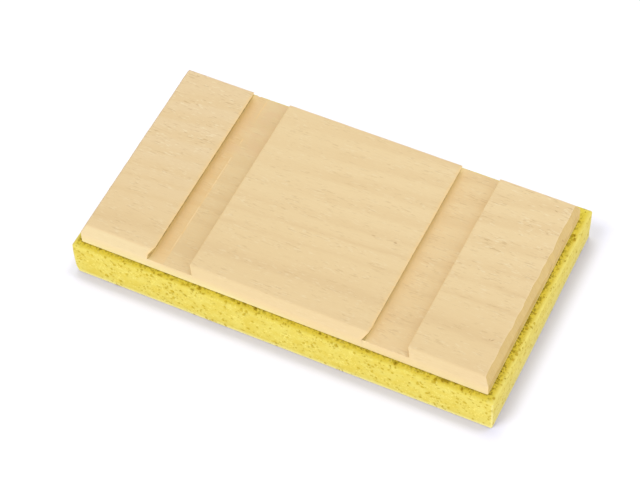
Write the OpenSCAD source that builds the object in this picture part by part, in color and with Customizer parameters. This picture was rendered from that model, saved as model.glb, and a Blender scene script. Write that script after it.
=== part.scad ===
// Sponge pad for a plasterer's float: a cellulose sponge slab bonded under a
// bevelled wooden board, with two dovetail grooves that a handle slides into.
// Millimetres. +Z is up, and the origin is the centre of the sponge's underside.

/* [Backing board] */
// Length of the board, along the grain (X)
board_length = 240; // [200:1:320]
// Width of the board, along the grooves (Y)
board_width = 127; // [100:1:170]
// Thickness of the board
board_thickness = 12.3; // [10:0.1:20]
// How far the top bevel reaches in from each edge
bevel_inset = 2.5; // [0.5:0.1:5]
// How far the top bevel comes down each edge
bevel_drop = 4.9; // [1:0.1:7]
// Rounding of the board's four upright corners
board_corner_r = 1; // [0.4:0.1:4]

/* [Handle grooves] */
// Width of a groove at its mouth, on the top face
groove_width = 22.1; // [12:0.1:32]
// Depth of a groove below the top face
groove_depth = 5.6; // [2:0.1:7]
// How far each groove wall is cut back under its lip
groove_undercut = 2.4; // [0.4:0.1:4]
// Distance between the centres of the two grooves
groove_pitch = 127.5; // [80:0.5:150]
// How far the pair of grooves sits off the board's middle
groove_shift = -1.3; // [-8:0.1:8]

/* [Sponge] */
// Thickness of the sponge slab
sponge_thickness = 22.8; // [12:0.1:40]
// How far the sponge stands out past the board's left end
overhang_left = 3.8; // [0.5:0.1:10]
// How far the sponge stands out past the board's right end
overhang_right = 4.7; // [0.5:0.1:10]
// How far the sponge stands out past the board's front edge
overhang_front = 4.1; // [0.5:0.1:10]
// How far the sponge stands out past the board's back edge
overhang_back = 6.5; // [0.5:0.1:10]
// Rounding of the sponge's four upright corners
sponge_corner_r = 1.2; // [0.4:0.1:8]
// Rounding along the sponge's top and bottom edges
sponge_edge_r = 0.8; // [0.4:0.1:4]

/* [Adhesive] */
// Thickness of the film of adhesive between sponge and board
adhesive_thickness = 0.6; // [0.2:0.05:2]
// How far the film stops short of the board's edges
adhesive_setback = 2; // [0.5:0.1:8]

/* [Hidden] */
$fn = 64;
sponge_length = board_length + overhang_left + overhang_right;
sponge_width = board_width + overhang_front + overhang_back;
// the board's centre, seen from the sponge's centre
board_x = (overhang_left - overhang_right) / 2;
board_y = (overhang_front - overhang_back) / 2;
adhesive_z = sponge_thickness;
board_z = adhesive_z + adhesive_thickness;
// how far the shaping sections run out past the piece they shape
run_out = 2;

// A rectangle about the origin with its corners rounded
module rounded_rectangle(length, width, r) {
    square([length - 2 * r, width], center = true);
    square([length, width - 2 * r], center = true);
    for (sx = [-1, 1], sy = [-1, 1])
        translate([sx * (length / 2 - r), sy * (width / 2 - r)])
            circle(r = r);
}

// The board's edge section: square below, bevelled above, standing on y = 0
module bevelled_section(span) {
    polygon([
        [-span / 2, 0],
        [span / 2, 0],
        [span / 2, board_thickness - bevel_drop],
        [span / 2 - bevel_inset, board_thickness],
        [-span / 2 + bevel_inset, board_thickness],
        [-span / 2, board_thickness - bevel_drop]
    ]);
}

// A dovetail groove with its mouth on y = 0, its walls drawn on past the mouth
module groove_section() {
    lean = groove_undercut / groove_depth;
    polygon([
        [-groove_width / 2 - groove_undercut, -groove_depth],
        [groove_width / 2 + groove_undercut, -groove_depth],
        [groove_width / 2 - run_out * lean, run_out],
        [-groove_width / 2 + run_out * lean, run_out]
    ]);
}

// Draws a section across X, standing along Z, and runs it through the width
module along_y(length) {
    rotate([90, 0, 0])
        linear_extrude(height = length, center = true)
            children();
}

// Draws a section across Y, standing along Z, and runs it through the length
module along_x(length) {
    rotate([90, 0, 90])
        linear_extrude(height = length, center = true)
            children();
}

// One piece of wood: bevelled all round the top, with two through grooves
module backing_board() {
    color([0.92, 0.81, 0.62])
        translate([board_x, board_y, board_z])
            intersection() {
                along_y(board_width + 2 * run_out)
                    difference() {
                        bevelled_section(board_length);
                        for (side = [-1, 1])
                            translate([groove_shift + side * groove_pitch / 2, board_thickness])
                                groove_section();
                    }
                along_x(board_length + 2 * run_out)
                    bevelled_section(board_width);
                linear_extrude(height = board_thickness)
                    rounded_rectangle(board_length, board_width, board_corner_r);
            }
}

// The film of adhesive that holds the sponge to the board
module adhesive_film() {
    color([0.55, 0.44, 0.20])
        translate([board_x, board_y, adhesive_z])
            linear_extrude(height = adhesive_thickness)
                square([board_length - 2 * adhesive_setback,
                        board_width - 2 * adhesive_setback], center = true);
}

// The sponge slab, with every edge rounded
module sponge() {
    color([0.93, 0.84, 0.40])
        intersection() {
            linear_extrude(height = sponge_thickness)
                rounded_rectangle(sponge_length, sponge_width, sponge_corner_r);
            translate([0, 0, sponge_thickness / 2]) {
                along_y(sponge_width + 2 * run_out)
                    rounded_rectangle(sponge_length, sponge_thickness, sponge_edge_r);
            }
            translate([0, 0, sponge_thickness / 2]) {
                along_x(sponge_length + 2 * run_out)
                    rounded_rectangle(sponge_width, sponge_thickness, sponge_edge_r);
            }
        }
}

backing_board();
adhesive_film();
sponge();
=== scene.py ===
import bmesh
import bpy
import math
import numpy as np
from mathutils import Matrix, Vector


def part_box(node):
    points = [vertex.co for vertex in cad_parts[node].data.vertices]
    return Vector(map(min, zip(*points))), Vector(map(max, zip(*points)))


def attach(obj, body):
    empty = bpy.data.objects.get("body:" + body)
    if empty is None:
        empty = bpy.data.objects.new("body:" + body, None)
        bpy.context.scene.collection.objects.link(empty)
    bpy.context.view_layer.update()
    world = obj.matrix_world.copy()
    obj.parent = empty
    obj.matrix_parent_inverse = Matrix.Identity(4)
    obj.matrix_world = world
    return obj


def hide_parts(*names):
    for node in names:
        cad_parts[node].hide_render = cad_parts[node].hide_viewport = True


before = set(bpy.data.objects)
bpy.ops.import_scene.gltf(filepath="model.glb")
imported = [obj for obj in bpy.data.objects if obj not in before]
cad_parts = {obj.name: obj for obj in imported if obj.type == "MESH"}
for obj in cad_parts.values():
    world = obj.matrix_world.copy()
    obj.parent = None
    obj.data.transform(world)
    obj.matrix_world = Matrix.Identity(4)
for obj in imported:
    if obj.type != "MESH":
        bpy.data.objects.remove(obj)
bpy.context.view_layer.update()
perMetre = 1000
mm = 1 / perMetre
tiny = 1e-9  # keeps a division from failing where a length is nothing
mapSpan, mapMargin = 285, 0.01  # millimetres that a piece's map is wide, and the map's free edge


# sRGB 0 to 255 to the linear colour that a shader socket takes
def paint(r, g, b):
    c = np.array([r, g, b]) / 255
    return tuple(np.where(c <= 0.04045, c / 12.92, ((c + 0.055) / 1.055) ** 2.4)) + (1.0,)


# a gentle wander along t: a few sines of wavelength shortest to longest, each with its own seeded phase
def wander(t, seed, shortest, longest, count=7):
    rng = np.random.default_rng(seed)
    wave = np.geomspace(shortest, longest, count) * rng.uniform(0.85, 1.15, count)
    size = rng.uniform(0.5, 1.0, count)
    phase = rng.uniform(0, 2 * np.pi, count)
    return (size * np.sin(2 * np.pi * np.asarray(t)[..., None] / wave + phase)).sum(-1) / size.sum()


# 0 to 1 as t goes from low to high, eased at both ends
def smooth(low, high, t):
    t = np.clip((t - low) / (high - low), 0, 1)
    return t * t * (3 - 2 * t)


# points of a rectangle hx by hy (half sizes) whose corners are rounded by r
def roundCorners(x, y, hx, hy, r):
    x, y = np.clip(x, -hx, hx), np.clip(y, -hy, hy)
    dx, dy = np.abs(x) - (hx - r), np.abs(y) - (hy - r)
    reach = np.hypot(dx, dy)
    pull = np.where((dx > 0) & (dy > 0) & (reach > r), r / np.maximum(reach, tiny), 1)
    return (np.where(pull < 1, np.sign(x) * (hx - r + dx * pull), x),
            np.where(pull < 1, np.sign(y) * (hy - r + dy * pull), y))


# quads between the rows of a grid of rows x cols points, numbered from start; wrap closes each row on itself
def gridQuads(rows, cols, start=0, wrap=False):
    i = np.arange(rows * cols).reshape(rows, cols) + start
    if wrap:
        i = np.hstack([i, i[:, :1]])
    return np.stack([i[:-1, :-1], i[:-1, 1:], i[1:, 1:], i[1:, :-1]], -1).reshape(-1, 4)


def addObject(name, data):
    added = bpy.data.objects.new(name, data)
    bpy.context.scene.collection.objects.link(added)
    return added


# a whole array into one property of a collection's items
def fill(items, name, array, kind=np.float32):
    items.foreach_set(name, array.astype(kind).ravel())


# one object from points (metres), arrays of faces, a map laid out in millimetres and values kept on the
# points; edges that turn by more than sharp (degrees) stay crisp
def makePiece(name, points, faces, layout, values, sharp):
    weld = 2e-6  # points closer than this become one
    layout = layout / mapSpan + mapMargin
    corners = np.concatenate([f.ravel() for f in faces])
    lengths = np.concatenate([np.full(len(f), f.shape[1]) for f in faces])
    mesh = bpy.data.meshes.new(name)
    mesh.vertices.add(len(points))
    fill(mesh.vertices, "co", points)
    mesh.loops.add(len(corners))
    fill(mesh.loops, "vertex_index", corners, np.int32)
    mesh.polygons.add(len(lengths))
    fill(mesh.polygons, "loop_start", np.concatenate([[0], np.cumsum(lengths)[:-1]]), np.int32)
    mesh.update(calc_edges=True)
    fill(mesh.uv_layers.new(name="OFBake").uv, "vector", layout[corners])
    for key, value in values.items():
        fill(mesh.attributes.new(key, "FLOAT", "POINT").data, "value", value)
    work = bmesh.new()
    work.from_mesh(mesh)
    bmesh.ops.remove_doubles(work, verts=work.verts, dist=weld)
    if work.calc_volume(signed=True) < 0:
        bmesh.ops.reverse_faces(work, faces=work.faces)
    work.to_mesh(mesh)
    work.free()
    fill(mesh.polygons, "use_smooth", np.ones(len(mesh.polygons)), bool)
    mesh.set_sharp_from_angle(angle=math.radians(sharp))
    triangles = sum(len(p.vertices) - 2 for p in mesh.polygons)
    print(name, len(mesh.vertices), "points,", triangles, "triangles")
    return addObject(name, mesh)


# a node of a tree, its inputs given by name or number as values or as sockets to link
def put(tree, kind, inputs=None, **settings):
    made = tree.nodes.new("ShaderNode" + kind)
    for key, value in settings.items():
        setattr(made, key, value)
    for key, value in (inputs or {}).items():
        if isinstance(value, bpy.types.NodeSocket):
            tree.links.new(value, made.inputs[key])
        else:
            made.inputs[key].default_value = value
    return made


# the node tree that a group of values belongs to, taken from the first of them that is a socket
def treeOf(*values):
    return next(v.id_data for v in values if isinstance(v, bpy.types.NodeSocket))


def maths(operation, a, b=0.0):
    return put(treeOf(a, b), "Math", {0: a, 1: b}, operation=operation).outputs[0]


def plus(a, b):
    return maths("ADD", a, b)


def minus(a, b):
    return maths("SUBTRACT", a, b)


# two or more values multiplied
def times(a, b, *more):
    product = maths("MULTIPLY", a, b)
    return times(product, *more) if more else product


# toLow to toHigh as a value goes from low to high, eased at both ends
def ranged(value, low, high, toLow=0.0, toHigh=1.0):
    inputs = {0: value, 1: low, 2: high, 3: toLow, 4: toHigh}
    return put(treeOf(value), "MapRange", inputs, interpolation_type="SMOOTHSTEP").outputs[0]


def scaled(vector, by):
    return put(treeOf(vector), "VectorMath", {0: vector, 1: by}, operation="MULTIPLY").outputs[0]


def split(vector):
    return put(treeOf(vector), "SeparateXYZ", {0: vector}).outputs


# a at factor 0 and b at factor 1
def mixed(factor, a, b):
    return put(treeOf(factor, a, b), "Mix", {0: factor, 6: a, 7: b}, data_type="RGBA").outputs[2]


# 0 to 1 as a value goes through one of a finish's runs
def run(finish, name, value):
    return ranged(value, *finish["runs"][name])


# one of a finish's tones over a colour, where it lies and as strongly as it shows
def laid(finish, name, where, colour):
    return mixed(times(where, finish["shows"][name]), colour, finish[name])


# a new material, its shader and its texture coordinates
def newMaterial(name):
    made = bpy.data.materials.new(name)
    made.use_nodes = True
    return made, made.node_tree.nodes["Principled BSDF"], put(made.node_tree, "TexCoord").outputs


# a shader's changing colour and roughness, and its bump from a height that is relief metres at 1
def dress(shader, colour, roughness, height, relief, strength):
    bump = put(shader.id_data, "Bump", {"Height": height, "Distance": relief, "Strength": strength})
    for name, value in (("Base Color", colour), ("Roughness", roughness), ("Normal", bump.outputs[0])):
        shader.id_data.links.new(value, shader.inputs[name])


# Cloudy unevenness shared by every finish: noise of the given detail, spread out between Low and High.
def makeCloud():
    group = bpy.data.node_groups.new("cloud", "ShaderNodeTree")
    for name in ("Place", "Detail", "Low", "High"):
        kind = "NodeSocketVector" if name == "Place" else "NodeSocketFloat"
        group.interface.new_socket(name=name, in_out="INPUT", socket_type=kind)
    group.interface.new_socket(name="Cloud", in_out="OUTPUT", socket_type="NodeSocketFloat")
    given, out = group.nodes.new("NodeGroupInput"), group.nodes.new("NodeGroupOutput")
    noise = put(group, "TexNoise", {"Vector": given.outputs["Place"], "Scale": 1.0,
                                    "Detail": given.outputs["Detail"], "Roughness": 0.55})
    spread = ranged(noise.outputs[0], given.outputs["Low"], given.outputs["High"])
    group.links.new(spread, out.inputs["Cloud"])
    return group


cloudGroup = makeCloud()


# a cloud on object coordinates, its grain stretched to size (millimetres along X, Y, Z)
def cloud(place, size, detail, low, high):
    stretched = scaled(place, tuple(perMetre / s for s in size))
    inputs = {"Place": stretched, "Detail": detail, "Low": low, "High": high}
    return put(treeOf(place), "Group", inputs, node_tree=cloudGroup).outputs[0]


# a value kept on the points of a piece
def kept(tree, name):
    return put(tree, "Attribute", attribute_name=name).outputs["Fac"]


# where a piece stands (metres): the middle of its node's box seen from above and the box's bottom; and the
# box's length, width and height (millimetres)
def boxOf(node):
    low, high = (np.array(corner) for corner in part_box(node))
    return np.array([*(low + high)[:2] / 2, low[2]]), (high - low) / mm


print("helpers ready")

# backing board; all lengths in millimetres
boardAt, boardSize = boxOf("backing_board")
board = {
    "length": boardSize[0],
    "width": boardSize[1],
    "thick": boardSize[2],
    "bevelIn": 2.5,
    "frontBevelIn": (3.1, 2.5),  # left of the left groove, and elsewhere
    "bevelDown": 4.9,
    "bevelWander": (0.30, 0.15, 0.16, 0.22),  # left, right, front, back
    # how much further in the right bevel starts, at places from the front edge to the back
    "rightWave": ((-64, 0.2), (-60, 0.35), (-53, 0.55), (-49, 0.15), (-42, 0.5), (-31, 0.3),
                  (-27, -0.25), (-22, 0.2), (-19, 0.25), (-13, -0.2), (-10, 0.25), (-4, 0.1), (2, 0.5),
                  (9, -0.25), (14, 0.25), (20, -0.2), (23, 0.15), (27.5, -0.65), (32, -0.05),
                  (38, 0.15), (44, 0.25), (50, -0.15), (60, 0.1)),
    "cornerRound": 1.0,
    "edgeEase": 0.30,
    "bottomEase": 0.08,
    "grooveMouth": 22.1,
    "grooveDepth": 5.6,
    "undercut": ((2.2, 2.1), (3.2, 2.0)),  # left and right wall of each groove
    "footHeight": ((2.4, 0.5), (0.4, 0.5)),  # upright part of each wall, just above the floor
    "pitch": 127.5,  # from one groove's middle to the other's
    "shift": -1.3,  # both grooves together, from the board's middle
    "lipBreak": (0.6, 0.15),  # how far the front end of each left lip is worn back
    "breakReach": (5.2, 2.6),  # the wear is nothing this far from the front, and full this near
    "lipFray": 0.09,
    "lipDrop": 0.1,  # how much lower the wood is at a lip
    "heightFrom": 0.1,  # how far beside the lip its height is taken
    "wallDrop": 0.14,  # how far below the lip a wall starts
    "wallGap": 0.02,  # how far beside the lip a wall starts
    "paleLip": 0.3,  # how much of the left lips' broken fibre the right lips show
    "nookStart": (0.0, 1.0),  # where the painted shade and light in each left corner start, from the wall's foot
    "nookFade": 1.8,  # over how many millimetres it fades
    # how strongly that painted shade and light show in each groove
    "nookDepth": (1.0, 1.25),
    # line left standing between two passes of the cutter, from the left groove's left wall
    "ridgeAt": 9.1,
    "ridgeHalf": 0.6,  # half its width
    "ridgeHeight": 0.14,
    "ridgeLean": 0.008,  # it drifts left by this for every millimetre in front of ridgeTurn
    "ridgeTurn": 18,
    # how high it still stands, at places from the front to the back
    "ridgeStands": ((-55, 0), (-53, 0.6), (-46, 0.9), (-37, 0.5), (-33, 1), (-21, 0.9), (-18.5, 0.15),
                    (-14, 0.2), (-12, 0.8), (-8, 0.4), (-4.5, 0.9), (8, 1), (17.5, 0.9), (18.7, 0),
                    (26.5, 0), (28.5, 0.7), (31.5, 0.7), (33, 0), (47, 0), (49.5, 0.55), (61, 0.6),
                    (63, 0.3)),
    "chatter": 0.05,  # height of the cutter's marks on the floors
    "sharp": 50,  # edges that turn by more than this stay crisp
}


# Height of the top at (x, y): the lowest of the flat top and the four bevel planes, each blend rounded
# over edgeEase. Every bevel's foot wanders up and down along its edge.
def topHeight(x, y):
    b = board
    x, y = np.broadcast_arrays(x, y)
    slope = b["bevelDown"] / b["bevelIn"]
    wide, narrow = b["frontBevelIn"]
    frontSlope = b["bevelDown"] / (wide + (narrow - wide) * smooth(-76, -68, x))  # changes beside the groove
    foot = b["thick"] - b["bevelDown"]
    halfL, halfW = b["length"] / 2, b["width"] / 2
    sway = [w * wander(t, 90 + k, 9, 80) for k, (w, t) in enumerate(zip(b["bevelWander"], (y, y, x, x)))]
    sway[1] = sway[1] - slope * np.interp(y, *zip(*b["rightWave"]))
    inFrom = (halfL + x, halfL - x, halfW + y, halfW - y)
    height = np.full(x.shape, b["thick"])
    for away, up, rising in zip(inFrom, sway, (slope, slope, frontSlope, slope)):
        plane = foot + up + rising * away
        height = (height + plane - np.sqrt((height - plane) ** 2 + b["edgeEase"] ** 2)) / 2
    return height


# The board is a section carried along Y. Each section runs up the left end, over the top with both
# grooves, down the right end and back along the bottom. A groove wall's place depends on its depth below
# the top face alone, so the lips swing outwards where the bevels lower them.
def makeBoard():
    b = board
    halfL, halfW, thick = b["length"] / 2, b["width"] / 2, b["thick"]
    floorZ = thick - b["grooveDepth"]
    # distances of the close columns and stations from an end, and from a groove's lip
    nearEnd = np.array([0, 0.2, 0.45, 0.7, 1.0, 1.4, 1.8, 2.15, 2.5, 2.85, 3.3, 4.2, 5.2, 7])
    nearLip = np.array([6, 3, 1.6, 0.9, 0.5, 0.25, 0.08])
    endZone, stations, columnStep, wallRows, floorColumns = 8, 150, 3.2, 9, 28
    even = np.linspace(-halfW + endZone, halfW - endZone, stations)
    ys = np.concatenate([-halfW + nearEnd, even, halfW - nearEnd[::-1]])
    centre = len(ys) // 2
    down = np.linspace(0, 1, wallRows)[None, :]

    # a land between two edges given at each station, its columns crowded towards both
    def land(left, right, fromLip, toLip):
        start = nearLip[::-1] if fromLip else nearEnd
        stop = nearLip if toLip else nearEnd[::-1]
        first = np.broadcast_to(left, ys.shape)[:, None] + start
        last = np.broadcast_to(right, ys.shape)[:, None] - stop
        steps = 2 + int((last[:, 0] - first[:, -1]).mean() / columnStep)
        between = np.linspace(0, 1, steps)[1:-1]
        middle = first[:, -1:] + (last[:, :1] - first[:, -1:]) * between
        x = np.hstack([first, middle, last])
        near = np.zeros(x.shape[1])
        near[:len(start)] += b["paleLip"] * smooth(1.2, 0.1, start) * fromLip
        near[-len(stop):] += smooth(2.2, 0.3, stop) * toLip
        worn = [smooth(0.9, 0.1, start) * fromLip, np.zeros(steps - 2), smooth(0.9, 0.1, stop) * toLip]
        z = topHeight(x, ys[:, None]) - b["lipDrop"] * np.concatenate(worn) ** 4
        return x, z, np.broadcast_to(near, x.shape), 0, np.zeros(x.shape)

    # one wall: side is -1 on the left and 1 on the right, top is its lip's x at full height
    def wall(k, side, top, turned):
        cut, foot = b["undercut"][k][(side + 1) // 2], b["footHeight"][k][(side + 1) // 2]
        high = topHeight(top - side * b["heightFrom"], ys)[:, None] - b["wallDrop"]
        z = high + (floorZ - high) * down
        out = cut * np.clip((thick - z) / (b["grooveDepth"] - foot), 0, 1)
        x = top[:, None] + side * out
        near = np.broadcast_to(smooth(0.25, 0.0, down) * (1.0 if side < 0 else b["paleLip"]), z.shape)
        return tuple(g[:, ::-1] if turned else g for g in (x, z, near)) + (1, np.ones(z.shape))

    # columns of the left groove's floor with five of them gathered at the ridge, and how high it stands
    def addRidge(x, footLeft):
        line = footLeft + b["ridgeAt"]
        clear = np.abs(x[centre] - line + 0.25) > 1.35  # columns that aren't in the ridge's way
        before, after = clear & (x[centre] < line), clear & (x[centre] > line)
        line = line + b["ridgeLean"] * np.minimum(ys[:, None] - b["ridgeTurn"], 0)
        x = np.hstack([x[:, before], line + np.array([-0.7, -0.35, 0.0, 0.35, 0.7]), x[:, after]])
        broken = np.interp(ys, *zip(*b["ridgeStands"])) * smooth(-0.75, -0.35, wander(ys, 83, 1.5, 12))
        return x, broken[:, None] * np.clip(1 - np.abs(x - line) / b["ridgeHalf"], 0, 1)

    parts, feet = [], []
    leftEdge, fromLip = np.full(ys.shape, -halfL), False
    for k in (0, 1):
        mouth, half = b["shift"] + (2 * k - 1) * b["pitch"] / 2, b["grooveMouth"] / 2
        # each lip frays finely and slowly
        fray = [b["lipFray"] * (wander(ys, 11 + 7 * k + n, 2.2, 14) + wander(ys, 40 + 5 * k + n, 20, 90))
                for n in (0, 1)]
        wear = b["lipBreak"][k] * smooth(*b["breakReach"], ys + halfW)
        lipLeft, lipRight = mouth - half - wear + fray[0], mouth + half + fray[1]
        footLeft, footRight = mouth - half - b["undercut"][k][0], mouth + half + b["undercut"][k][1]
        left, right = wall(k, -1, lipLeft, False), wall(k, 1, lipRight, True)
        parts += [land(leftEdge, left[0][:, 0] - b["wallGap"], fromLip, True), left]
        across = np.linspace(0, 1, floorColumns + 2)[1:-1]
        x = left[0][:, -1:] + (right[0][:, :1] - left[0][:, -1:]) * across
        x, stand = addRidge(x, footLeft) if k == 0 else (x, np.zeros(x.shape))
        marks = 0.5 * wander(ys, 60 + k, 2.5, 9)[:, None] + wander(x + 0.15 * ys[:, None], 70 + k, 5, 30)
        z = floorZ + b["ridgeHeight"] * stand + b["chatter"] * marks
        # painted shade and light beside each left wall, fading away from its foot
        shade = b["nookDepth"][k] * np.exp(-(x - footLeft - b["nookStart"][k]) / b["nookFade"])
        parts += [(x, z, 2.2 * stand, 1, shade), right]  # above 1, a lip's value means the ridge
        feet += [footLeft, footRight]
        leftEdge, fromLip = right[0][:, -1] + b["wallGap"], True
    parts.append(land(leftEdge, np.full(ys.shape, halfL), True, False))

    x, z, lip, nook = (np.hstack([part[i] for part in parts]) for i in (0, 1, 2, 4))
    cut = np.hstack([np.full(part[0].shape, float(part[3])) for part in parts])
    # columns of the bottom: under a groove's walls they gather at the wall's foot
    limits = np.array([-halfL, *np.repeat(feet, 2), halfL])
    spans = zip(limits[:-1], limits[1:])
    flat = np.concatenate([np.clip(part[0][centre], *span) for part, span in zip(parts, spans)])
    rise = np.array([0, 0.05, 0.14, 2.0, 4.0, 5.8]) / (thick - b["bevelDown"])
    leftZ, rightZ = z[:, :1] * rise, z[:, -1:] * rise[::-1]
    under = np.broadcast_to(flat[::-1], x.shape)
    zero = np.zeros(leftZ.shape)
    sectionX = np.hstack([zero - halfL, x, zero + halfL, under])
    sectionZ = np.hstack([leftZ, z, rightZ, np.zeros(x.shape)])
    sectionY = np.broadcast_to(ys[:, None], sectionX.shape)
    rows, cols = sectionX.shape
    topEnd = 2 * leftZ.shape[1] + x.shape[1]

    # map: the top and both ends unrolled, the bottom above them, then the front and back
    bottomAt, frontAt, backAt, thinned = 132, 262, 272, 0.75
    travel = np.cumsum(np.hypot(np.diff(sectionX[centre]), np.diff(sectionZ[centre])))
    onTop = np.arange(cols) < topEnd
    u = np.where(onTop, np.concatenate([[0], travel]), sectionX + halfL)
    v = sectionY + halfW + np.where(onTop, 0, bottomAt)
    points = [np.stack([sectionX, sectionY, sectionZ], -1).reshape(-1, 3)]
    maps = [np.stack([u, v], -1).reshape(-1, 2)]
    quads = gridQuads(rows, cols)
    faces = [quads[(quads[:, 0] % cols) != topEnd - 1]]
    count = rows * cols
    # front and back: rows from the bottom line up to the section's top line
    up = np.concatenate([rise, [1.0]])[:, None]
    for station, offset in ((0, frontAt), (-1, backAt)):
        capX, capZ = flat + (x[station] - flat) * up, z[station] * up
        points.append(np.stack([capX, np.full(capX.shape, ys[station]), capZ], -1).reshape(-1, 3))
        maps.append(np.stack([capX + halfL, capZ * thinned + offset], -1).reshape(-1, 2))
        capQuads = gridQuads(*capX.shape, count)
        faces.append(capQuads if station == 0 else capQuads[:, ::-1])
        count += capX.size
    # seen from above, the bottom edge is eased and the upright corners are rounded
    px, py, pz = np.concatenate(points).T
    ease = np.clip(b["bottomEase"] - pz, 0, None)
    inset = b["bottomEase"] - np.sqrt(np.clip(b["bottomEase"] ** 2 - ease ** 2, 0, None))
    px, py = roundCorners(px, py, halfL - inset, halfW - inset, b["cornerRound"])
    points = np.stack([px, py, pz], -1) * mm + boardAt
    values = {}
    for key, onSection in (("lip", lip), ("cut", cut), ("nook", nook)):
        section = np.hstack([zero, onSection, zero, np.zeros(x.shape)])
        values[key] = np.concatenate([section.ravel(), np.zeros(count - rows * cols)])
    return makePiece("board_wood", points, faces, np.concatenate(maps), values, b["sharp"])


boardPiece = makeBoard()
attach(boardPiece, "root")
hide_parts("backing_board")

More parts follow.
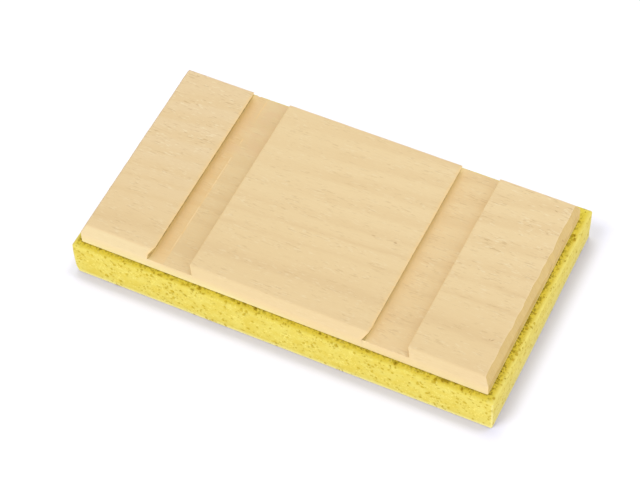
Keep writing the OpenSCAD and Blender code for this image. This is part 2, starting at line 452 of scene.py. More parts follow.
wood = {
    "pale": paint(246, 219, 168),
    "duller": paint(244, 217, 166),  # right of the left groove
    "greyer": paint(242, 215, 168),  # left of it
    "yellower": paint(243, 214, 160),  # towards the front
    "side": paint(233, 208, 152),
    "leftBevel": paint(239, 217, 164),
    "glow": paint(255, 245, 182),  # painted light, low on the sides, next to the sponge
    "band": paint(238, 208, 156),
    "ring": paint(214, 182, 130),
    "fleck": paint(196, 160, 108),
    "glint": paint(252, 232, 190),
    "endGrain": paint(225, 194, 124),
    "endDark": paint(207, 172, 104),
    "endFront": (paint(222, 190, 111), paint(196, 162, 84)),
    "endBack": (paint(233, 201, 133), paint(210, 176, 106)),
    "endRing": paint(178, 146, 72),
    "warmFloor": paint(244, 206, 141),
    "dullFloor": paint(232, 208, 158),
    "backFloor": paint(239, 205, 156),  # at the back of the left groove
    # the next three are painted: light beside the left walls, a shade line in their corners, and light on
    # the groove floors
    "nook": paint(248, 230, 158),
    "creaseShade": paint(160, 130, 70),
    "lightFloor": paint(255, 226, 174),
    "fray": paint(250, 212, 146),
    "ridge": paint(252, 226, 178),
    "mark": paint(168, 118, 66),
    # places across the board from the back edge to the front, and how dark the rings are there
    "rings": ((62, 0.12), (57, 0.50), (52, 0.55), (50, 0.03), (44.5, 0.03), (40.8, 0.48), (36.1, 0.55),
              (34.1, 0.0), (29.5, 0.03), (26, 0.48), (21.6, 0.55), (19.6, 0.0), (15, 0.03), (11.7, 0.45),
              (7.5, 0.50), (5.5, 0.0), (1.5, 0.08), (-2, 0.4), (-5.2, 0.6), (-7, 0.15), (-10.8, 0.22),
              (-13.6, 0.78), (-15.3, 0.15), (-21, 0.15), (-24.7, 0.72), (-26.6, 0.25), (-34, 0.25),
              (-39.5, 0.5), (-45.5, 0.95), (-49.5, 0.30), (-57, 0.2), (-61, 0.5)),
    "ringsFrom": (70, 135),  # where the ramp of the rings starts and how long it is
    "slope": (0.055, 0.10),  # how the rings run across the board, near the front and near the back
    "bend": (-0.00021, 0.0000032),  # how that changes along the board, near the front and near the back
    "lean": 0.5,  # millimetres that the rings move forward with every millimetre down
    "ripple": (1.2, 1.8),  # how far the short and the long ripple move them
    # clouds: size in millimetres along X, Y and Z, then detail and what they are spread out between
    "shortRipple": ((15, 14, 12), 2.0, 0.2, 0.8),
    "longRipple": ((60, 30, 40), 1.0, 0.2, 0.8),
    "alive": ((45, 14, 12), 2.0, 0.30, 0.62),
    "fibre": ((16, 0.7, 0.7), 4.0, 0.25, 0.75),
    "field": ((16, 7, 9), 2.0, 0.40, 0.60),
    "dash": ((5.0, 0.8, 0.8), 1.5, 0.57, 0.68),
    "shine": ((3.6, 0.9, 0.9), 1.5, 0.57, 0.68),
    "streak": ((3, 1.0, 7), 3.0, 0.3, 0.7),
    "uneven": ((4, 9, 2.5), 2.0, 0.35, 0.65),
    "passes": ((0.9, 16, 4), 2.0, 0.35, 0.65),
    "curls": ((7, 1.6, 4), 3.0, 0.40, 0.65),
    "patches": ((7, 5, 7), 2.0, 0.35, 0.65),
    "broken": ((4, 2.6, 4), 2.0, 0.35, 0.65),
    "torn": ((1.2, 2.2, 1.2), 2.0, 0.38, 0.60),
    # how strongly each shows
    "shows": {"faint": 0.45, "onFloors": 0.25, "yellower": 0.62, "glow": 0.75, "lowGlow": 0.9,
              "endGlow": 0.35, "band": 0.95, "ring": 0.06, "fibre": 0.08, "dash": 0.25, "shine": 0.42,
              "onSides": 0.65, "outer": 0.75, "inRight": 0.5, "streak": 0.4, "upright": 0.8,
              "uprightRing": 0.40, "endRing": 0.10, "passes": 0.10, "curls": 0.14, "warmFloor": 0.30,
              "dullFloor": 0.16, "backFloor": 0.6, "lightFloor": 0.22, "nook": 0.6},
    # where each starts and where it is full: first places along x, y or z
    "runs": {"toBack": (-30, 50), "step": (-60, -85), "faint": (30, 12), "faintBack": (-12, 4),
             "duller": (5, -35), "greyer": (-68, -80), "yellower": (5, -60), "leftBevel": (-68, -76),
             "bevelTop": (25, 30.5), "glow": (30.5, 23), "lowGlow": (25.6, 23.6), "endGlow": (27, 23.7),
             "outer": (65, 85), "outerBack": (-20, 20), "right": (0, 10), "left": (-40, -50),
             "endBack": (2, 14), "floorBack": (17, 24), "ridge": (-69.3, -70), "ridgeBack": (-65, -76),
             # then how far a face is turned, how dark the rings are, what is kept on the points, and how
             # far it is to the middle of a mark
             "sideways": (0.6, 0.75), "endways": (0.6, 0.8), "upright": (0.90, 0.98), "ring": (0.62, 1),
             "nook": (0.03, 0.30), "nookIn": (1, 0.6), "creaseShade": (0.76, 0.92), "ridgeTone": (0.9, 1.7),
             "mark": (1, 0.3)},
    "faintAt": -36,  # the middle of where the rings are faint
    "step": 1.5,  # millimetres that the rings jump at the left groove
    # brown marks: x, y, turn in degrees, half length, half width, strength
    "marks": ((111.1, -40.2, 45, 1.7, 0.45, 0.50), (109.6, -40.4, 75, 1.1, 0.4, 0.35),
              (39.2, -3.6, 5, 1.3, 0.7, 0.50), (26.5, -4.0, 5, 1.6, 0.6, 0.30),
              (59.3, -7.0, 0, 0.9, 0.7, 0.22), (119.0, 37.8, 0, 0.6, 0.7, 0.60),
              (109.3, 51.7, -15, 1.4, 0.4, 0.45), (111.9, 24.7, 10, 0.8, 0.5, 0.30),
              (110.5, 35.8, 0, 1.0, 0.4, 0.30)),
    "roughness": 0.62,
    "relief": 0.00007,  # metres
}


# Wood. A place's distance across the grain is its y, less the rings' own slope and bend, a little further
# for every millimetre down, and rippled. A ramp turns that distance into the darkness of the growth rings.
# Fibres, dashes and clouds are noise drawn out along the grain.
def makeWood():
    w, shows = wood, wood["shows"]
    made, shader, coords = newMaterial("pale maple")
    tree, place = made.node_tree, coords["Object"]
    inMillimetres = scaled(place, (perMetre,) * 3)
    x, y, z = split(inMillimetres)
    facing = split(coords["Normal"])
    cut, lip, nook = kept(tree, "cut"), kept(tree, "lip"), kept(tree, "nook")

    def ripple(name, far):
        return times(minus(cloud(place, *w[name]), 0.5), far)

    toBack = run(w, "toBack", y)
    nearFront = plus(w["slope"][0], times(x, w["bend"][0]))
    nearBack = plus(w["slope"][1], times(times(x, x), w["bend"][1]))
    drift = times(x, plus(nearFront, times(toBack, minus(nearBack, nearFront))))
    drift = plus(drift, times(run(w, "step", x), w["step"]))
    drift = plus(drift, plus(ripple("shortRipple", w["ripple"][0]), ripple("longRipple", w["ripple"][1])))
    top = boardAt[2] * perMetre + board["thick"]
    across = plus(minus(y, drift), times(minus(top, z), w["lean"]))
    start, length = w["ringsFrom"]
    ramp = put(tree, "ValToRGB", {0: maths("DIVIDE", minus(start, across), length)})
    stops, places = ramp.color_ramp.elements, [(start - at) / length for at, dark in w["rings"]]
    stops[0].position, stops[1].position = places[0], places[-1]
    for at in places[1:-1]:
        stops.new(at)
    for stop, (at, dark) in zip(stops, w["rings"]):
        stop.color = (dark, dark, dark, 1)
    rings = ramp.outputs[0]
    # the rings are faint behind the middle, right of the left groove
    faint = times(run(w, "faint", maths("ABSOLUTE", minus(x, w["faintAt"]))), run(w, "faintBack", y))
    alive = plus(0.95, times(cloud(place, *w["alive"]), 0.4))
    stronger = times(alive, plus(1.0, times(cut, shows["onFloors"])))
    dark = times(rings, times(minus(1.0, times(faint, shows["faint"])), stronger))

    # the plain colour from left to right and towards the front, the sides, and painted light low on them
    base = mixed(run(w, "duller", x), w["pale"], w["duller"])
    base = mixed(run(w, "greyer", x), base, w["greyer"])
    base = laid(w, "yellower", run(w, "yellower", y), base)
    side = mixed(times(run(w, "leftBevel", x), run(w, "bevelTop", z)), w["side"], w["leftBevel"])
    sideways = run(w, "sideways", maths("ABSOLUTE", facing[1]))
    base = mixed(sideways, base, side)
    glow = plus(times(run(w, "glow", z), shows["glow"]), times(run(w, "lowGlow", z), shows["lowGlow"]))
    base = mixed(glow, base, w["glow"])
    colour = laid(w, "band", dark, base)
    colour = laid(w, "ring", run(w, "ring", dark), colour)
    fibre = cloud(place, *w["fibre"])
    colour = mixed(times(minus(1.0, fibre), shows["fibre"]), colour, w["ring"])

    # dark dashes and light glints: in fields, weaker on the sides, strongest on the outer lands towards
    # the back and in the right groove
    field = plus(0.25, times(cloud(place, *w["field"]), 0.75))
    dash = times(cloud(place, *w["dash"]), field)
    shine = times(cloud(scaled(place, (1, -1, 1)), *w["shine"]), field)
    lively = times(run(w, "outer", maths("ABSOLUTE", x)), run(w, "outerBack", y), shows["outer"])
    lively = plus(lively, times(cut, run(w, "right", x), shows["inRight"]))
    lively = times(minus(1.0, times(sideways, shows["onSides"])), plus(1.0, lively))
    colour = mixed(times(dash, lively, shows["dash"]), colour, w["fleck"])
    colour = mixed(times(shine, lively, shows["shine"]), colour, w["glint"])

    # cut ends: fine upright streaks where the fibres stop, darkest on the upright part, which is partly the
    # end grain's own tone and partly painted shade
    endways = maths("ABSOLUTE", facing[0])
    end = mixed(times(cloud(place, *w["streak"]), shows["streak"]), w["endGrain"], w["endDark"])
    uneven = cloud(place, *w["uneven"])
    upright = mixed(run(w, "endBack", y), mixed(uneven, *w["endFront"]), mixed(uneven, *w["endBack"]))
    upright = mixed(times(dark, shows["uprightRing"]), upright, w["endRing"])
    end = mixed(times(run(w, "upright", endways), shows["upright"]), end, upright)
    end = laid(w, "endRing", dark, end)
    # painted light low on the ends, next to the sponge
    end = mixed(times(run(w, "endGlow", z), shows["endGlow"]), end, w["glow"])
    colour = mixed(run(w, "endways", endways), colour, end)

    # groove floors: warm left of the left groove's ridge and duller right of it, in patches at its back;
    # painted light makes the right groove lighter and the floor close to the left walls yellower, with a
    # painted shade line in the corner
    inLeft, atBack = run(w, "left", x), run(w, "floorBack", y)
    leftCut, rightCut = times(cut, inLeft), times(cut, minus(1.0, inLeft))
    leftOfRidge = run(w, "ridge", x)
    leftOfRidge = plus(leftOfRidge, times(atBack, minus(run(w, "ridgeBack", x), leftOfRidge)))
    passes = times(cloud(place, *w["passes"]), shows["passes"])
    curls = times(cloud(place, *w["curls"]), shows["curls"])
    worn = times(cut, plus(plus(passes, curls), times(inLeft, leftOfRidge, shows["warmFloor"])))
    colour = mixed(worn, colour, w["warmFloor"])
    colour = laid(w, "dullFloor", times(leftCut, minus(1.0, leftOfRidge)), colour)
    colour = laid(w, "backFloor", times(leftCut, atBack, cloud(place, *w["patches"])), colour)
    # painted light on the right groove's floor
    colour = laid(w, "lightFloor", rightCut, colour)
    # painted light close to the left walls
    beside = times(run(w, "nook", nook), run(w, "nookIn", nook))
    beside = times(beside, plus(0.30, times(minus(1.0, inLeft), 0.45)))
    colour = mixed(beside, colour, w["lightFloor"])
    colour = laid(w, "nook", nook, colour)
    # a painted shade line in the corner
    broken = plus(0.16, times(cloud(place, *w["broken"]), 0.34))
    colour = mixed(times(run(w, "creaseShade", nook), broken), colour, w["creaseShade"])
    # lips: broken fibres, warm; the ridge is paler
    torn = plus(0.25, times(cloud(place, *w["torn"]), 0.5))
    colour = mixed(times(lip, torn), colour, w["fray"])
    colour = mixed(run(w, "ridgeTone", lip), colour, w["ridge"])

    # marks: ovals, so tall that their height doesn't count
    markZ, tall = 33, 50
    for markX, markY, turn, long, wide, strength in w["marks"]:
        inputs = {"Vector": inMillimetres, "Location": (markX, markY, markZ),
                  "Rotation": (0, 0, math.radians(turn)), "Scale": (long, wide, tall)}
        centred = put(tree, "Mapping", inputs, vector_type="TEXTURE").outputs[0]
        far = put(tree, "VectorMath", {0: centred}, operation="LENGTH").outputs["Value"]
        colour = mixed(times(run(w, "mark", far), strength), colour, w["mark"])

    height = minus(plus(times(fibre, 0.4), times(shine, 0.5)), plus(dash, times(rings, 0.3)))
    dress(shader, colour, minus(w["roughness"], times(fibre, 0.10)), height, w["relief"], 0.7)
    shader.inputs["Specular IOR Level"].default_value = 0.3
    return made


woodFinish = makeWood()
boardPiece.data.materials.append(woodFinish)
print("board done")

# adhesive
adhesive = {
    "amber": paint(120, 92, 34),
    "dark": paint(84, 62, 22),
    "lumps": ((4, 4, 2), 3.0, 0.3, 0.7),  # size in millimetres, detail, what they are spread out between
    "roughness": 0.45,
    "relief": 0.0002,
}


# Adhesive: two browns in soft clouds, with low lumps where the coat dried unevenly.
def makeAdhesive():
    a = adhesive
    made, shader, coords = newMaterial("dried adhesive")
    lumps = cloud(coords["Object"], *a["lumps"])
    colour = mixed(lumps, a["amber"], a["dark"])
    dress(shader, colour, plus(a["roughness"], times(lumps, 0.2)), lumps, a["relief"], 0.6)
    return made


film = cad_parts["adhesive_film"]
film.data.materials.clear()
film.data.materials.append(makeAdhesive())
print("adhesive done")

# sponge; all lengths in millimetres
spongeAt, spongeSize = boxOf("sponge")
sponge = {
    "length": spongeSize[0],
    "width": spongeSize[1],
    "thick": spongeSize[2],
    "cornerRound": 1.2,
    "edgeRound": 1.2,
    "bottomRound": 0.3,
    "rimWidth": 9.0,  # of the top that the board leaves open, and a little under it
    "acrossLong": 400,  # points of a loop along each long side
    "acrossShort": 220,
    "topRows": 13,
    "sideRows": 33,
    # pores: how many, smallest and largest radius
    "sidePores": (900, 0.45, 1.25),
    "underPores": (900, 0.8, 2.0),
    "deepest": 1.0,
    "uneven": 0.22,  # slow swells of the sides
    "crumbAndHighlight": 0.03,
    # how far the left end leans in at heights from the bottom to the top; less than nothing is a bulge
    "leanLeft": ((0, 1.2), (1.1, 0.95), (3, 0.3), (5, -0.05), (10, -0.35), (16.5, -0.6), (22, -0.35),
                 (22.8, -0.3)),
    "tuckRight": 0.6,  # how far the right end leans in at the bottom
    "backCorner": 1.3,  # how far the back right corner stands out
    "swell": 0.3,  # how far the top rises on both sides of the board's edge
    "sharp": 180,
    "seed": 5,
}


# A loop of points round the slab at an inset from its outline: a rectangle whose corners are rounded.
def slabLoop(inset):
    s = sponge
    hx, hy = s["length"] / 2 - inset, s["width"] / 2 - inset
    a = np.linspace(-1, 1, s["acrossLong"], endpoint=False)
    b = np.linspace(-1, 1, s["acrossShort"], endpoint=False)
    x = np.concatenate([a, np.ones(len(b)), -a, -np.ones(len(b))]) * hx
    y = np.concatenate([-np.ones(len(a)), b, np.ones(len(a)), -b]) * hy
    return roundCorners(x, y, hx, hy, max(s["cornerRound"] - inset, 0))


# The slab's skin in rows: in from the rim on top, round the edge, down the side, round and in underneath,
# then a plain grid under the middle. Each row is a loop of the outline at its own inset, height and facing,
# which is 1 where it faces up, 0 where it faces sideways and -1 where it faces down.
def spongeSkin():
    s = sponge
    r, low, thick, top, side = s["edgeRound"], s["bottomRound"], s["thick"], s["topRows"], s["sideRows"]
    underRows, underIn, gridIn = 5, 4.1, 4.8
    turn = np.radians([18, 36, 54, 72])
    back = turn[::-1]
    insets = np.concatenate([np.linspace(s["rimWidth"], r, top), r - r * np.sin(turn), np.zeros(side),
                             low - low * np.sin(back), np.linspace(low, underIn, underRows)])
    heights = np.concatenate([np.full(top, thick), thick - r + r * np.cos(turn),
                              np.linspace(thick - r, low, side), low - low * np.cos(back),
                              np.zeros(underRows)])
    facing = np.concatenate([np.ones(top), np.cos(turn), np.zeros(side), -np.cos(back), -np.ones(underRows)])
    loops = [slabLoop(inset) for inset in insets]
    strip = np.stack([np.stack([x, y, np.full_like(x, h)], -1) for (x, y), h in zip(loops, heights)])
    ring = strip.shape[1]
    hx, hy = s["length"] / 2 - gridIn, s["width"] / 2 - gridIn
    gx, gy = np.meshgrid(np.linspace(-hx, hx, s["acrossLong"] // 2 + 1),
                         np.linspace(-hy, hy, s["acrossShort"] // 2 + 1))
    under = np.stack([gx, gy, np.zeros_like(gx)], -1)
    start = strip.shape[0] * ring
    index = np.arange(gx.size).reshape(gx.shape) + start
    # three triangles join each pair of fine steps of the last loop to one step of the grid's edge
    fine = np.arange(ring) + start - ring
    edge = np.concatenate([index[0, :-1], index[:-1, -1], index[-1, :0:-1], index[:0:-1, 0]])
    f0, f1, f2, c0, c1 = fine[0::2], fine[1::2], np.roll(fine[0::2], -1), edge, np.roll(edge, -1)
    seam = np.concatenate([np.stack(t, -1) for t in ((f0, f1, c0), (f1, c1, c0), (f1, f2, c1))])
    middle = np.arange(ring)[None, ::-1]  # the hidden middle of the top, one flat face
    faces = [gridQuads(strip.shape[0], ring, 0, wrap=True), gridQuads(*gx.shape, start), seam, middle]
    return strip, under, faces, insets, heights, facing


# Pores are seeded ellipsoids near the skin. A point inside one moves straight inwards until it leaves it, so
# each pore is a round pit with a crisp rim. The deepest of all pores counts. Points and pores are both taken
# in the order of x, so that each small set of pores meets only the slice of points around it.
def carve(points, inward, centres, radii, stretch):
    together = 6
    depth = np.zeros(len(points))
    order = np.argsort(points[:, 0], kind="stable")
    sortedX = points[order, 0]
    byX = np.argsort(centres[:, 0], kind="stable")
    for part in np.array_split(byX, max(1, len(byX) // together)):
        c, scale = centres[part], stretch[part] * radii[part, None]
        reach = scale[:, 0].max()
        first, last = np.searchsorted(sortedX, (c[:, 0].min() - reach, c[:, 0].max() + reach))
        near = order[first:last]
        v = (points[near, None, :] - c[None]) / scale[None]
        d = inward[near, None, :] / scale[None]
        dd, vd, vv = (d * d).sum(-1), (v * d).sum(-1), (v * v).sum(-1)
        root = np.sqrt(np.clip(vd * vd - dd * (vv - 1), 0, None))
        depth[near] = np.maximum(depth[near], np.where(vv < 1, (-vd + root) / dd, 0).max(1))
    return depth


# The slab: its skin with pores carved in, slow swells and a crumb, leaning ends and one longer corner.
def makeSponge():
    s = sponge
    strip, under, faces, insets, heights, facing = spongeSkin()
    thick, halfL, halfW = s["thick"], s["length"] / 2, s["width"] / 2
    rows, ring = strip.shape[:2]
    count = rows * ring
    # outward direction of the outline at each point of a loop, turned evenly round each corner
    outline = np.stack(slabLoop(0.0), -1)
    corner = np.abs(outline) - (np.array([halfL, halfW]) - s["cornerRound"])
    out = np.sign(outline) * np.clip(corner, 0, None)
    out /= np.maximum(np.linalg.norm(out, axis=1, keepdims=True), tiny)
    sideways = np.sqrt(1 - facing ** 2)[:, None]
    upwards = np.broadcast_to(facing[:, None], (rows, ring))
    inwardStrip = -np.stack([sideways * out[:, 0], sideways * out[:, 1], upwards], -1)
    inwardUnder = np.broadcast_to([0.0, 0.0, 1.0], under.shape)
    points = np.concatenate([strip.reshape(-1, 3), under.reshape(-1, 3)])
    inward = np.concatenate([inwardStrip.reshape(-1, 3), inwardUnder.reshape(-1, 3)])
    rng = np.random.default_rng(s["seed"])

    # number pores at points of the pool, most of them small, each a little beside its point and stretched
    def pores(pool, number, low, high):
        chosen = pool[rng.integers(0, len(pool), number)]
        radius = low + (high - low) * rng.random(number) ** 2.6
        sunk = radius[:, None] * rng.uniform(-0.35, 0.35, (number, 1))
        at = points[chosen] + rng.normal(0, 0.25, (number, 3)) + inward[chosen] * sunk
        return carve(points, inward, at, radius, rng.uniform(0.75, 1.35, (number, 3)))

    x, y, z = points.T
    numbers = np.arange(len(points))
    lowest = 2.0  # side pores stay above this height
    sidePool = numbers[(numbers >= 2 * ring) & (numbers < count) & (z > lowest)]
    carved = np.maximum(pores(sidePool, *s["sidePores"]), pores(numbers[count:], *s["underPores"]))
    carved = s["deepest"] * np.tanh(carved / s["deepest"])
    # it stays flat underneath and under the board
    slow = 0.5 + 0.25 * wander(x + 0.6 * y, 3, 9, 60) + 0.25 * wander(y - 2.4 * z, 4, 7, 40)
    crumbAndHighlight = np.abs(rng.normal(0, s["crumbAndHighlight"], len(points)))
    uneven = s["uneven"] * slow * (z > 0.4) + crumbAndHighlight
    inset = np.concatenate([np.repeat(insets, ring), np.full(len(points) - count, s["rimWidth"])])
    onTop = z > thick - 0.01
    flatter = np.where(onTop, smooth(s["rimWidth"], s["rimWidth"] - 1.4, inset), 1)
    moved = points + inward * ((carved + uneven) * flatter)[:, None]
    # both ends lean in towards the bottom, the left one most at the front and the right one at the back
    lean = np.interp(z, *zip(*s["leanLeft"]))
    moved[:, 0] += lean * smooth(halfL - 16, halfL, -x) * (0.45 + 0.55 * smooth(20, -60, y))
    tuck = s["tuckRight"] * (1 - z / thick)
    moved[:, 0] -= tuck * smooth(halfL - 12, halfL, x) * smooth(-20, 60, y)
    moved[:, 1] += s["backCorner"] * smooth(halfL - 36, halfL - 4, x) * smooth(halfW - 16, halfW - 1, y)
    # the top swells on both sides of the board's edge, up to where the adhesive starts
    offX, offY = (boardAt - spongeAt)[:2] / mm
    outX, outY = np.abs(x - offX) - board["length"] / 2, np.abs(y - offY) - board["width"] / 2
    beyond = np.hypot(np.clip(outX, 0, None), np.clip(outY, 0, None))
    beside = smooth(1.9, 0.4, beyond) * smooth(-1.9, -1.2, np.maximum(outX, outY))
    moved[:, 2] = np.clip(moved[:, 2], 0, thick) + s["swell"] * onTop * beside

    # map: front, back, then both ends as unrolled bands, then the underside, at one scale
    backAt, endsAt, endGap, underAt = 42, 84, 3, 130
    nx, ny = s["acrossLong"], s["acrossShort"]
    side = np.repeat([0, 1, 2, 3], [nx, ny, nx, ny])
    travel = np.concatenate([[0], np.cumsum(np.hypot(np.diff(insets), np.diff(heights)))])
    alongLong = np.linspace(0, s["length"], nx, endpoint=False)
    alongShort = np.linspace(0, s["width"], ny, endpoint=False)
    lengthwise = np.concatenate([alongLong, alongShort] * 2)
    bandU = np.where(side == 3, lengthwise + s["width"] + endGap, lengthwise)
    bandV = travel[:, None] + np.array([0, endsAt, backAt, endsAt])[side][None]
    stripMap = np.stack([np.broadcast_to(bandU, bandV.shape), bandV], -1)
    underMap = under[..., :2] + [halfL, halfW + underAt]
    layout = np.concatenate([stripMap.reshape(-1, 2), underMap.reshape(-1, 2)])

    # kept on the points: depth of the pits, the rim on top, the line along the board, the upright corners
    # and the rounded top edge
    atEnd = smooth(-2, 0.5, outX)
    nearTop = smooth(thick - 1.0, thick - 0.2, z)
    toCorner = np.minimum(np.abs(x) - halfL, np.abs(y) - halfW) + 0.3
    fromCrest = np.hypot(inset - 0.8, z - thick + 0.3)
    values = {
        "pit": carved / s["deepest"],
        "rim": smooth(thick - 2.0, thick - 0.4, z) * smooth(0.4, 2.0, inset),
        "joint": nearTop * smooth(2.9 + 0.7 * atEnd, 0.2, beyond) * (0.64 + 0.34 * atEnd),
        "corner": smooth(-1.4, 0.2, toCorner) * (z < thick - 1),
        "crest": np.clip(1.3 - fromCrest / 1.5, 0, 1) * (1 + 0.7 * atEnd),
    }
    return makePiece("sponge_slab", moved * mm + spongeAt, faces, layout, values, s["sharp"])


spongePiece = makeSponge()
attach(spongePiece, "root")
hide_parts("sponge")

foam = {
    "yellow": paint(226, 203, 84),
    "pale": paint(232, 215, 106),
    "gold": paint(212, 189, 50),
    "pit": paint(196, 164, 0),
    # painted highlight: pale flecks beside the pores
    "crumbAndHighlight": paint(252, 236, 128),
    "rim": paint(245, 225, 52),
    "speck": paint(150, 124, 6),
    "between": paint(218, 190, 60),  # beside the board, between the specks
    "paleEnds": paint(232, 217, 148),
    "bottom": paint(252, 241, 168),
    # painted highlights on the upright corners and along the rounded top edge
    "corner": paint(246, 236, 160),
    "crest": paint(250, 231, 96),
    "endCrest": paint(246, 230, 122),
    # clouds: size in millimetres along X, Y and Z, then detail and what they are spread out between
    "patches": ((6, 6, 4), 4.0, 0.3, 0.7),
    "grit": ((1.3, 1.3, 1.0), 3.0, 0.3, 0.7),
    "speckCloud": ((1.9, 1.9, 1.9), 2.0, 0.52, 0.60),
    # rounds: cell size, how much of a cell the widest fills, size of the fields they come in, and what
    # those are spread out between
    "finePores": (2.0, 0.37, 6, 0.49, 0.57),
    "largePores": (4.2, 0.29, 8, 0.44, 0.54),
    "highlightFlecks": (1.5, 0.42, 5, 0.46, 0.56),
    "specks": (1.7, 0.55, 5, 0.25, 0.50),
    "bend": (450, 0.0016),  # the unevenness that takes them out of round: its closeness and its depth
    # how strongly each shows
    "shows": {"gold": 0.22, "pale": 0.25, "rim": 0.55, "crest": 0.36, "crumbAndHighlight": 0.45, "pore": 0.72,
              "pit": 0.7, "between": 0.5, "speck": 0.95, "thin": 0.35},
    # where each starts and where it is full: places along x, y or z, how far a face is turned, and the
    # depth of the pits; the paler ends also say how strong they are at both
    "runs": {"paleEnds": (17, 6, 0.08, 0.42), "pale": (100, 118), "bottom": (3.1, -0.95), "endCrest": (119, 121),
             "thin": (30, 55), "endways": (0.6, 0.9), "upright": (-0.9, -0.6), "pit": (0.15, 0.8)},
    "roughness": 0.9,
    "relief": 0.0004,
}


# Sponge. Clouds of two yellows; fine pores are the rounds of a cell pattern wherever a cloud lets them
# through, and they and the pits are deeper gold, painted shade in the hollows. The rim on top is a stronger
# yellow, with dark specks along the board. Pale flecks, the rounded top edge and the upright corners carry
# painted highlights, and the sides are paler low down with painted light.
def makeFoam():
    f, shows = foam, foam["shows"]
    made, shader, coords = newMaterial("cellulose sponge")
    tree, place = made.node_tree, coords["Object"]
    x, y, z = split(scaled(place, (perMetre,) * 3))
    facing = split(coords["Normal"])
    colour = mixed(cloud(place, *f["patches"]), f["yellow"], f["pale"])
    grit = cloud(place, *f["grit"])
    colour = laid(f, "gold", minus(1.0, grit), colour)
    # the ends are a paler yellow, most of all lower down, and every side is paler low down with painted
    # light from the floor, but not the underside
    endways, upright = run(f, "endways", maths("ABSOLUTE", facing[0])), run(f, "upright", facing[2])
    colour = mixed(times(endways, run(f, "paleEnds", z)), colour, f["paleEnds"])
    colour = laid(f, "pale", run(f, "pale", x), colour)
    # painted light from the floor, low on every upright side
    colour = mixed(times(upright, run(f, "bottom", z)), colour, f["bottom"])

    close, deep = f["bend"]
    inputs = {"Vector": scaled(place, (close,) * 3), "Scale": 1.0, "Detail": 1.0}
    inputs = {0: put(tree, "TexNoise", inputs).outputs["Color"], 1: (deep,) * 3, 2: place}
    bent = put(tree, "VectorMath", inputs, operation="MULTIPLY_ADD").outputs[0]

    # rounds of one cell size, the widest filling far of a cell, strongest in the middle of a field
    def rounds(cell, far, fieldSize, low, high):
        inputs = {"Vector": scaled(bent, (perMetre / cell,) * 3), "Scale": 1.0, "Randomness": 1.0}
        away = put(tree, "TexVoronoi", inputs).outputs["Distance"]
        return times(ranged(away, far, far * 0.55), cloud(place, (fieldSize,) * 3, 2.0, low, high))

    pore = maths("MAXIMUM", rounds(*f["finePores"]), rounds(*f["largePores"]))
    colour = laid(f, "rim", kept(tree, "rim"), colour)
    # painted highlight along the rounded top edge, paler at the ends
    crest = mixed(run(f, "endCrest", maths("ABSOLUTE", x)), f["crest"], f["endCrest"])
    colour = mixed(times(kept(tree, "crest"), shows["crest"]), colour, crest)
    # painted highlights: pale flecks beside the pores
    colour = laid(f, "crumbAndHighlight", rounds(*f["highlightFlecks"]), colour)
    # painted shade: the pores and the carved pits are a deeper gold
    colour = mixed(times(pore, shows["pore"]), colour, f["pit"])
    colour = laid(f, "pit", run(f, "pit", kept(tree, "pit")), colour)
    # beside the board: gold, with specks that thin out towards the back
    specks = maths("MAXIMUM", rounds(*f["specks"]), cloud(place, *f["speckCloud"]))
    joint = times(kept(tree, "joint"), minus(1.0, times(run(f, "thin", y), shows["thin"])))
    colour = laid(f, "between", times(joint, minus(1.0, specks)), colour)
    colour = laid(f, "speck", times(joint, specks), colour)
    # painted highlight along the upright corners, broken by grit
    worn = times(kept(tree, "corner"), plus(0.3, times(grit, 0.6)))
    colour = mixed(worn, colour, f["corner"])
    height = minus(times(grit, 0.25), pore)
    dress(shader, colour, minus(f["roughness"], times(pore, 0.1)), height, f["relief"], 0.6)
    shader.inputs["Specular IOR Level"].default_value = 0.2
    return made


spongePiece.data.materials.append(makeFoam())
print("sponge done")

# stage, light and camera
stage = {
    "floorTone": (0.61, 0.603, 0.745, 1),
    "floorSide": 3.0,
    "skyLight": 0.69,
    # power, colour, where it comes from, softness in degrees, and what it lights
    "lamps": {
        "back": (0.183, (1, 1, 1), (-0.08, 0.42, 0.90), 45, "sponge pad"),
        "front": (0.344, (0.86, 0.905, 1), (0.10, -0.98, 0.15), 30, "sponge pad"),
        "right": (0.19, (0.80, 0.83, 1), (0.92, -0.35, 0.20), 35, "sponge pad"),
        "floor back": (0.43, (0.98, 1, 0.64), (-0.185, 0.254, 0.949), 27, "floor"),
        "floor front": (0.46, (0.98, 1, 0.955), (-0.307, -0.422, 0.853), 23, "floor"),
        "floor right": (0.25, (1, 1, 1), (0.189, 0.225, 0.956), 12, "floor"),
    },
}
# angles in degrees, lengths in metres, and the lens in millimetres
view = {"turn": 27.465, "rise": 53.113, "roll": -2.362, "away": 1.3258, "lens": 134.78,
        "lookAt": (-0.00910, 0.00189, 0.0)}


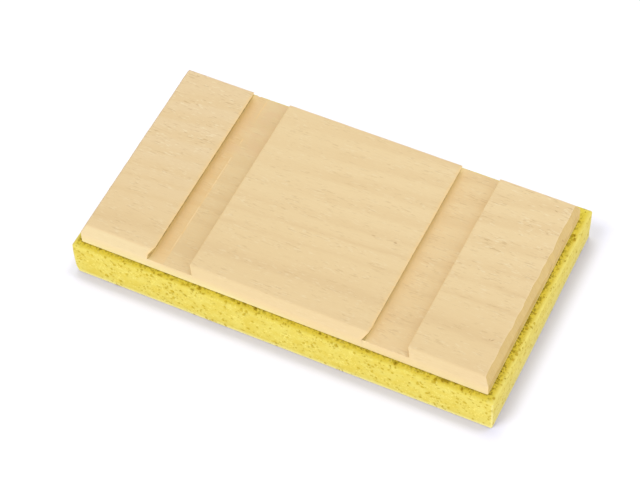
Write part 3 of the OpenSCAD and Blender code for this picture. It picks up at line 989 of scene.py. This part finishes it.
# The floor, the sky and the lamps. The sky is white where the camera looks straight at it or sees it in a
# gloss, and skyLight for all other light.
def makeStage():
    side, below = stage["floorSide"], -0.0002
    corners = [(-side, -side, below), (side, -side, below), (side, side, below), (-side, side, below)]
    mesh = bpy.data.meshes.new("floor")
    mesh.from_pydata(corners, [], [(0, 1, 2, 3)])
    floor = addObject("floor", mesh)
    made, shader, _ = newMaterial("pale floor")
    shader.inputs["Base Color"].default_value = stage["floorTone"]
    shader.inputs["Roughness"].default_value = 0.9
    shader.inputs["Specular IOR Level"].default_value = 0.0
    mesh.materials.append(made)

    world = bpy.data.worlds.new("studio")
    bpy.context.scene.world = world
    world.use_nodes = True
    tree = world.node_tree
    tree.nodes.clear()
    path = put(tree, "LightPath")
    seen = maths("MAXIMUM", path.outputs["Is Glossy Ray"], path.outputs["Is Transmission Ray"])
    seen = maths("MAXIMUM", path.outputs["Is Camera Ray"], seen)
    level = plus(stage["skyLight"], times(seen, 1 - stage["skyLight"]))
    sky = put(tree, "Background", {"Color": (1, 1, 1, 1), "Strength": level})
    put(tree, "OutputWorld", {"Surface": sky.outputs[0]})

    lit = {"floor": [floor], "sponge pad": [spongePiece, boardPiece, film]}
    for group, members in lit.items():
        lit[group] = bpy.data.collections.new("lights on the " + group)
        for member in members:
            lit[group].objects.link(member)
    for name, (power, tint, towards, soft, group) in stage["lamps"].items():
        lamp = bpy.data.lights.new(name, "SUN")
        lamp.energy = power * math.pi
        lamp.color = tint
        lamp.angle = math.radians(soft)
        shown = addObject(name, lamp)
        shown.rotation_euler = Vector(towards).to_track_quat("Z", "Y").to_euler()
        shown.light_linking.receiver_collection = lit[group]


# The camera stands away from lookAt, turned round it and raised, and rolled about its own line of sight.
def makeCamera():
    turn, rise, roll = (math.radians(view[k]) for k in ("turn", "rise", "roll"))
    back = Vector((math.sin(turn) * math.cos(rise), -math.cos(turn) * math.cos(rise), math.sin(rise)))
    right = (-back).cross(Vector((0, 0, 1))).normalized()
    up = right.cross(-back)
    c, s = math.cos(roll), math.sin(roll)
    across, above = c * right + s * up, -s * right + c * up
    lens = bpy.data.cameras.new("camera")
    lens.lens = view["lens"]
    lens.sensor_width = 36
    lens.sensor_fit = "HORIZONTAL"
    lens.clip_start, lens.clip_end = 0.05, 50
    place = Matrix((across, above, back)).transposed().to_4x4()
    place.translation = Vector(view["lookAt"]) + back * view["away"]
    camera = addObject("camera", lens)
    camera.matrix_world = place
    bpy.context.scene.camera = camera


makeStage()
makeCamera()
bpy.context.scene.view_settings.view_transform = "Standard"
print("stage, light and camera done")
